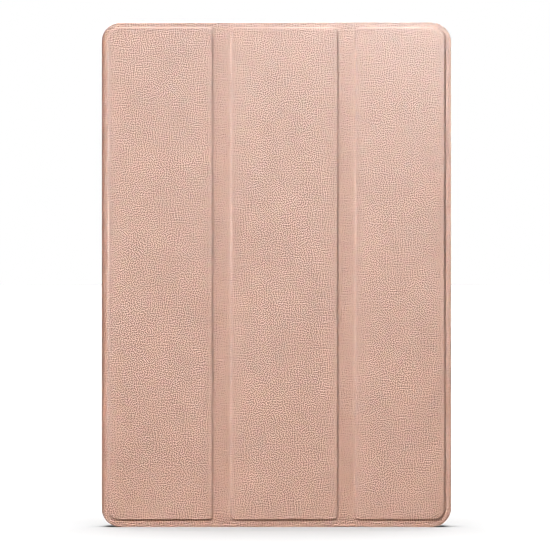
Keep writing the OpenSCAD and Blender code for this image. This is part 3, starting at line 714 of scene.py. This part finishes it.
def back_sheet():
    """The folio's back, from its seam on the left to the shell's edge on the right."""
    left, curve_end = X_LEFT + SEAM_BACK, X_LEFT + CASE_R
    low_edge = [lerp(left, curve_end, k / BACK_LEFT_STEPS) for k in range(BACK_LEFT_STEPS + 1)]
    rings = []
    for e, t in LEATHER_EDGE:
        y = lerp(Y_BACK, Y_SHELL, t)
        ring = [(x, outline_z(x - X_LEFT, e)) for x in low_edge]
        r = CASE_R - e
        last = math.asin(min(1.0, (BACK_RIGHT - e * 0.5 - (X_RIGHT - CASE_R)) / r))
        for k in range(1, BACK_RIGHT_STEPS + 1):
            a = last * k / BACK_RIGHT_STEPS
            ring.append((X_RIGHT - CASE_R + r * math.sin(a), CASE_R - r * math.cos(a)))
        ring += [(x, HEIGHT - z) for x, z in reversed(ring)]
        rings.append([(x, y, z) for x, z in ring])
    bm = bmesh.new()
    loft(bm, rings)
    return make("leather_back", bm, leather, "root", ("back_leather",))


WINDOW_W = 17.0  # the rear camera's window
WINDOW_Z = (219.0, 247.0)
WINDOW_ROUNDING = 0.3
WINDOW_STEPS = 32
RIM_TURN = 1.2  # an edge of the window turns by more than this, in radians
SAME_LEVEL = 1e-6
CAMERA_X = sum(cad("camera_lens")[k][0] for k in (0, 1)) / 2


def pill(half_width, z0, z1):
    """Loop of an upright pill, centred on the rear camera's line."""
    loop = []
    for first, centre_z in ((0, z1 - half_width), (math.pi, z0 + half_width)):
        for k in range(WINDOW_STEPS):
            a = first + math.pi * k / (WINDOW_STEPS - 1)
            loop.append((CAMERA_X + half_width * math.cos(a), centre_z + half_width * math.sin(a)))
    return loop


def cut_window(sheet):
    """Cuts the camera's window and rounds its outer edge."""
    bm = bmesh.new()
    loop = pill(WINDOW_W / 2, *WINDOW_Z)
    loft(bm, [[(x, y, z) for x, z in loop] for y in (Y_SHELL - 1, Y_BACK + 1)])
    cutter = make("window_cutter", bm, leather)
    cut = sheet.modifiers.new("window", "BOOLEAN")
    cut.operation = "DIFFERENCE"
    cut.solver = "EXACT"
    cut.object = cutter
    graph = bpy.context.evaluated_depsgraph_get()
    shape = bpy.data.meshes.new_from_object(sheet.evaluated_get(graph))
    sheet.modifiers.remove(cut)
    bpy.data.objects.remove(cutter)
    bm = bmesh.new()
    bm.from_mesh(shape)
    rim = []
    for edge in bm.edges:
        on_face = all(abs(v.co.y - Y_BACK * MM) < SAME_LEVEL for v in edge.verts)
        if on_face and len(edge.link_faces) == 2 and edge.calc_face_angle() > RIM_TURN:
            x = edge.verts[0].co.x / MM
            if abs(x - CAMERA_X) < WINDOW_W:
                rim.append(edge)
    bmesh.ops.bevel(bm, geom=rim, offset=WINDOW_ROUNDING * MM, segments=3, profile=0.5, affect="EDGES")
    bm.to_mesh(shape)
    bm.free()
    shape.set_sharp_from_angle(angle=math.radians(SHARP))
    store_sheet(shape)
    sheet.data = shape


cut_window(back_sheet())


# ---------------------------------------------------------------- CAD nodes that stay

SCREEN_INSET = 1.2  # dark rim of the display that the printed border covers


def screen_material():
    """Cover glass over a black printed border and the dark grey screen, thinly smeared by fingers."""
    material, tree, shader = tree_of("screen_glass")
    g = Graph(tree)
    at = g.add("ShaderNodeSeparateXYZ")
    g.put(at.inputs[0], g.place)
    low, high = cad("display_panel")
    lit = None
    for axis, socket in ((0, "X"), (2, "Z")):
        middle = (low[axis] + high[axis]) / 2
        reach = (high[axis] - low[axis]) / 2 - SCREEN_INSET
        off = g.math("ABSOLUTE", g.math("SUBTRACT", at.outputs[socket], middle))
        within = g.ramp(off, reach - 0.1, reach + 0.1, 1.0, 0.0)
        lit = within if lit is None else g.math("MULTIPLY", lit, within)
    smear = g.noise(0.09, 4.0, 0.6, g.warped(0.03, 12.0))
    pixels = g.mix(g.noise(4.0, 1.0), (0.013, 0.014, 0.017), (0.018, 0.019, 0.022))
    g.put(shader.inputs["Base Color"], g.mix(lit, (0.0035, 0.0035, 0.004), pixels))
    g.put(shader.inputs["Roughness"], g.ramp(smear, 0.35, 0.75, 0.05, 0.13))
    setup(shader, Specular_IOR_Level=0.5, Coat_Weight=0.6, Coat_Roughness=0.03)
    return material


FINISHES = {
    "shell": plain_material("shell_plastic", (0.62, 0.345, 0.25), (0.68, 0.385, 0.28), 0.62,
                            grain=5.0, depth=0.02),
    "anodised": plain_material("anodised_aluminium", (0.60, 0.60, 0.62), (0.68, 0.68, 0.70), 0.36, 1.0,
                               grain=12.0, depth=0.006, rough_spread=0.04),
    "sheet": plain_material("sheet_aluminium", (0.50, 0.51, 0.53), (0.62, 0.63, 0.65), 0.4, 1.0,
                            grain=3.0, stretch=(1, 1, 0.05)),
    "greyboard": plain_material("greyboard", (0.20, 0.18, 0.16), (0.30, 0.27, 0.24), 0.9,
                                grain=2.5, depth=0.03),
    "foam": plain_material("black_foam", (0.015, 0.015, 0.015), (0.035, 0.035, 0.035), 0.9,
                           grain=4.0, depth=0.04),
    "pouch": plain_material("battery_pouch", (0.02, 0.02, 0.022), (0.05, 0.05, 0.055), 0.42, 0.3,
                            grain=0.5, depth=0.08),
    "cable": plain_material("flat_cable", (0.50, 0.22, 0.04), (0.66, 0.34, 0.08), 0.35,
                            grain=1.5, depth=0.02, stretch=(6, 1, 0.2)),
    "board": plain_material("circuit_board", (0.01, 0.10, 0.05), (0.02, 0.20, 0.09), 0.35,
                            grain=1.2, depth=0.02, stretch=(1, 1, 3)),
    "plastic": plain_material("black_plastic", (0.02, 0.02, 0.022), (0.04, 0.04, 0.045), 0.5,
                              grain=6.0),
    "steel": plain_material("plated_steel", (0.55, 0.55, 0.56), (0.66, 0.66, 0.67), 0.3, 1.0,
                            grain=3.0, depth=0.006, stretch=(1, 4, 1)),
    "brass": plain_material("brass_plated", (0.60, 0.50, 0.26), (0.72, 0.62, 0.36), 0.32, 1.0,
                            grain=4.0, depth=0.006),
    "lens": plain_material("led_lens", (0.80, 0.72, 0.38), (0.90, 0.84, 0.55), 0.2,
                           grain=3.0, coat=0.8),
    "pale": plain_material("pale_plastic", (0.70, 0.69, 0.66), (0.80, 0.79, 0.76), 0.5,
                           grain=5.0),
    "magnet": plain_material("magnet", (0.42, 0.42, 0.44), (0.56, 0.56, 0.58), 0.3, 1.0,
                             depth=0.008),
    "glass": screen_material(),
    "coated": plain_material("coated_glass", (0.012, 0.008, 0.035), (0.03, 0.02, 0.075), 0.08,
                             grain=0.6, depth=0.0, rough_spread=0.03, specular=0.9, coat=1.0),
    "display": plain_material("display_module", (0.01, 0.01, 0.012), (0.02, 0.02, 0.024), 0.25,
                              grain=0.8, depth=0.004),
}
USES = {
    "shell": ["rear_shell"],
    "anodised": ["rear_housing", "camera_ring", "power_button", "volume_rocker", "card_tray"],
    "sheet": ["mid_plate"],
    "greyboard": ["spine_board", "cover_board_1", "cover_board_2", "cover_board_3"],
    "foam": ["display_adhesive"],
    "pouch": ["battery_left", "battery_right"],
    "cable": ["battery_flex", "display_flex", "port_flex"],
    "board": ["main_board", "port_board"],
    "plastic": ["processor", "memory_chips", "memory_card", "hall_sensor", "usb_tongue", "audio_jack",
                "speaker_top_left", "speaker_top_right", "speaker_bottom_left", "speaker_bottom_right",
                "front_camera", "rear_camera"],
    "steel": ["processor_shield", "radio_shield", "usb_socket", "card_slot", "plate_screws",
              "board_screws"],
    "brass": ["microphones", "key_switches"],
    "lens": ["flash_led"],
    "pale": ["antenna_left", "antenna_right"],
    "magnet": ["tablet_magnets", "stand_magnets", "closing_magnets", "wake_magnet"],
    "glass": ["front_glass"],
    "display": ["display_panel"],
}
for finish, names in USES.items():
    for name in names:
        mesh = frame["nodes"][name].data
        mesh.materials.clear()
        mesh.materials.append(FINISHES[finish])

SOFTENED = {  # nodes whose edges show, by the width of their rounding in millimetres
    0.5: ["battery_left", "battery_right"],
    0.25: ["rear_shell"],
    0.2: ["front_glass", "power_button", "volume_rocker"],
    0.12: ["rear_housing", "camera_ring", "card_tray"],
    0.1: ["spine_board", "cover_board_1", "cover_board_2", "cover_board_3"],
    0.08: ["usb_socket"],
}
ROUNDED_ANGLE = 50  # edges that turn by more degrees than this are rounded
for width, names in SOFTENED.items():
    for name in names:
        rounding = frame["nodes"][name].modifiers.new("rounding", "BEVEL")
        rounding.width = width * MM
        rounding.segments = 2
        rounding.limit_method = "ANGLE"
        rounding.angle_limit = math.radians(ROUNDED_ANGLE)
        rounding.use_clamp_overlap = True


# ---------------------------------------------------------------- lenses

LATHE_STEPS = 48


def lathe(name, profile, centre, finish, stands_for=()):
    """A solid turned round a line along Y. profile is (radius, y) points, from the axis out and back."""
    bm = bmesh.new()
    rings = []
    for r, y in profile:
        if r == 0:
            rings.append([bm.verts.new((centre[0], y, centre[1]))])
            continue
        ring = []
        for k in range(LATHE_STEPS):
            a = 2 * math.pi * k / LATHE_STEPS
            ring.append(bm.verts.new((centre[0] + r * math.cos(a), y, centre[1] + r * math.sin(a))))
        rings.append(ring)
    for a, b in zip(rings, rings[1:]):
        for k in range(LATHE_STEPS):
            n = (k + 1) % LATHE_STEPS
            if len(a) == 1:
                bm.faces.new((a[0], b[k], b[n]))
            elif len(b) == 1:
                bm.faces.new((a[k], b[0], a[n]))
            else:
                bm.faces.new((a[k], a[n], b[n], b[k]))
    return make(name, bm, FINISHES[finish], "root", stands_for)


def dome(radius, base, top, steps=8):
    """Profile of a low dome, from its rim to the axis."""
    return [(radius * math.cos(a), lerp(base, top, math.sin(a))) for a in quarter(steps)[:-1]] + [(0, top)]


def centre_of(node):
    """Middle of a node across X and Z, and its lowest and highest corner."""
    low, high = cad(node)
    return ((low[0] + high[0]) / 2, (low[2] + high[2]) / 2), low, high


centre, low, high = centre_of("camera_lens")
reach, floor_y, rim_y = (high[0] - low[0]) / 2, low[1], high[1]
barrel = [(0, floor_y), (reach, floor_y), (reach, rim_y - 0.05), (reach - 0.05, rim_y), (3.95, rim_y)]
for r, drop in ((3.9, 0.07), (3.3, 0.09), (3.25, 0.15), (2.75, 0.17), (2.7, 0.24), (0, 0.24)):
    barrel.append((r, rim_y - drop))
lathe("camera_barrel", barrel, centre, "plastic", ("camera_lens",))
LENS_R = 2.6
lens_y = rim_y - 0.23
lens_dome = dome(LENS_R, lens_y + 0.04, rim_y - 0.03)
lathe("camera_dome", [(0, lens_y), (LENS_R, lens_y), *lens_dome], centre, "coated")

centre, low, high = centre_of("flash_led")
LED_R = 1.7
led_y = high[1] + 0.01
ridges = [(0, led_y), (LED_R, led_y), (LED_R, led_y + 0.05)]
for r in (1.45, 1.15, 0.85, 0.55):
    ridges += [(r + 0.15, led_y + 0.08), (r, led_y + 0.03)]
led_dome = dome(0.5, led_y + 0.03, led_y + 0.09, 4)
lathe("flash_ridges", [*ridges, *led_dome], centre, "lens")

centre = centre_of("front_camera")[0]
EYE_R = 1.7
eye_y = cad("front_glass")[0][1] - 0.005
eye = [(0, eye_y), (EYE_R, eye_y), (EYE_R, eye_y - 0.02), (1.6, eye_y - 0.04), (1.2, eye_y - 0.04),
       (1.15, eye_y - 0.02)]
eye_dome = dome(1.1, eye_y - 0.02, eye_y - 0.06, 5)
lathe("front_camera_eye", [*eye, *eye_dome], centre, "coated")


# ---------------------------------------------------------------- stage, light and camera

FLOOR_SIZE = 40  # half its width in metres
FLOOR_GREY = (0.2, 0.2, 0.2)
ROOM_LIGHT = (0.05, 0.14)  # below and above
ROOM_RANGE = 0.6  # the room's light changes between this far below and this far above the horizon


def stage_floor():
    """A pale floor. It takes shadows but throws no light back on the object."""
    material, tree, shader = tree_of("floor")
    setup(shader, Base_Color=FLOOR_GREY, Roughness=0.9, Specular_IOR_Level=0.1)
    bm = bmesh.new()
    bmesh.ops.create_grid(bm, x_segments=1, y_segments=1, size=FLOOR_SIZE)
    mesh = bpy.data.meshes.new("floor")
    bm.to_mesh(mesh)
    bm.free()
    mesh.materials.append(material)
    floor = bpy.data.objects.new("floor", mesh)
    bpy.context.scene.collection.objects.link(floor)
    floor.visible_diffuse = False
    floor.visible_glossy = False
    return floor


def backdrop():
    """White where the camera looks past the object, and a dim room for everything else."""
    world = bpy.data.worlds.new("studio")
    bpy.context.scene.world = world
    world.use_nodes = True
    tree = world.node_tree
    tree.nodes.clear()
    out = tree.nodes.new("ShaderNodeOutputWorld")
    rays = tree.nodes.new("ShaderNodeLightPath")
    mix = tree.nodes.new("ShaderNodeMixShader")
    room = tree.nodes.new("ShaderNodeBackground")
    white = tree.nodes.new("ShaderNodeBackground")
    room.inputs["Color"].default_value = (1.0, 1.0, 1.0, 1.0)
    facing = tree.nodes.new("ShaderNodeTexCoord")
    split = tree.nodes.new("ShaderNodeSeparateXYZ")
    upward = tree.nodes.new("ShaderNodeMapRange")
    tree.links.new(facing.outputs["Generated"], split.inputs[0])
    tree.links.new(split.outputs["Z"], upward.inputs["Value"])
    limits = {"From Min": -ROOM_RANGE, "From Max": ROOM_RANGE,
              "To Min": ROOM_LIGHT[0], "To Max": ROOM_LIGHT[1]}
    for socket, value in limits.items():
        upward.inputs[socket].default_value = value
    tree.links.new(upward.outputs[0], room.inputs["Strength"])
    white.inputs["Color"].default_value = (1.0, 1.0, 1.0, 1.0)
    white.inputs["Strength"].default_value = 1.0
    tree.links.new(rays.outputs["Is Camera Ray"], mix.inputs["Fac"])
    tree.links.new(room.outputs[0], mix.inputs[1])
    tree.links.new(white.outputs[0], mix.inputs[2])
    tree.links.new(mix.outputs[0], out.inputs["Surface"])


def place_light(name, light, place, aim, power, receivers):
    """Puts a light, unseen by the camera, where it lights only the receivers."""
    light.energy = power
    lamp = bpy.data.objects.new(name, light)
    bpy.context.scene.collection.objects.link(lamp)
    lamp.location = place
    lamp.rotation_euler = (Vector(aim) - Vector(place)).to_track_quat("-Z", "Y").to_euler()
    lamp.visible_camera = False
    lamp.light_linking.receiver_collection = receivers
    return lamp


def softbox(name, place, aim, size, power, receivers):
    """A rectangular light, in metres and watts."""
    light = bpy.data.lights.new(name, "AREA")
    light.shape = "RECTANGLE"
    light.size, light.size_y = size
    return place_light(name, light, place, aim, power, receivers)


def sky(name, place, spread, power, receivers):
    """A far, even light; spread is its angle in degrees."""
    light = bpy.data.lights.new(name, "SUN")
    light.angle = math.radians(spread)
    return place_light(name, light, place, (0, 0, 0), power, receivers)


middle = (0.0, 0.0, HEIGHT * MM / 2)
floor = stage_floor()
not_floor = bpy.data.collections.new("not_floor")
not_floor.objects.link(floor)
not_floor.collection_objects[0].light_linking.link_state = "EXCLUDE"
only_floor = bpy.data.collections.new("only_floor")
only_floor.objects.link(floor)
leather_only = bpy.data.collections.new("leather_only")
panels_only = bpy.data.collections.new("panels_only")
for piece in bpy.data.objects:
    if piece.name.startswith("leather_"):
        leather_only.objects.link(piece)
    if piece.name.startswith(("leather_panel", "leather_crease")):
        panels_only.objects.link(piece)
backdrop()
# the floor has a light of its own, so that it stays pale however the object is lit
sky("floor_light", (0.0, 0.0, 2.0), 60, 17.0, only_floor)
sky("above", (0.0, -0.2, 2.0), 60, 0.9, not_floor)
sky("key", (-0.9, -1.5, 1.1), 20, 4.25, not_floor)
# five lights that only add highlights
for lamp in (softbox("gloss_behind", (-0.14, 0.36, 0.45), (-0.02, 0, 0.2), (0.2, 0.2), 14.0, leather_only),
             softbox("gloss", (0.14, -0.36, 0.45), (0.02, 0, 0.2), (0.2, 0.2), 17.0, leather_only),
             softbox("left", (-1.3, -0.16, 0.13), middle, (0.44, 0.8), 64.0, panels_only),
             softbox("upper_left", (-0.95, -0.08, 1.05), middle, (0.3, 0.4), 12.0, panels_only),
             softbox("top", (0.0, -0.12, 1.4), middle, (0.8, 0.24), 13.0, panels_only)):
    lamp.visible_diffuse = False
softbox("behind", (0.6, 1.7, 0.4), middle, (1.0, 1.0), 40, not_floor)

PIXEL_FILTER = 0.4  # narrow, so that the fine grain stays crisp
bpy.context.scene.view_settings.view_transform = "Standard"
bpy.context.scene.cycles.filter_width = PIXEL_FILTER

CAMERA_RANGE = 1.6  # from the cover's face
CAMERA_AT = (-0.00063, 0.1279)  # across and up
VIEW_WIDTH = 0.2788  # what the picture's width shows at the cover
SENSOR = 36  # millimetres
CLIP = (0.05, 60)
lens = bpy.data.cameras.new("camera")
camera = bpy.data.objects.new("camera", lens)
bpy.context.scene.collection.objects.link(camera)
camera.location = (CAMERA_AT[0], Y_FRONT * MM - CAMERA_RANGE, CAMERA_AT[1])
camera.rotation_euler = (math.pi / 2, 0, 0)
lens.sensor_width = SENSOR
lens.lens = lens.sensor_width * CAMERA_RANGE / VIEW_WIDTH
lens.clip_start, lens.clip_end = CLIP
bpy.context.scene.camera = camera

bpy.context.view_layer.update()
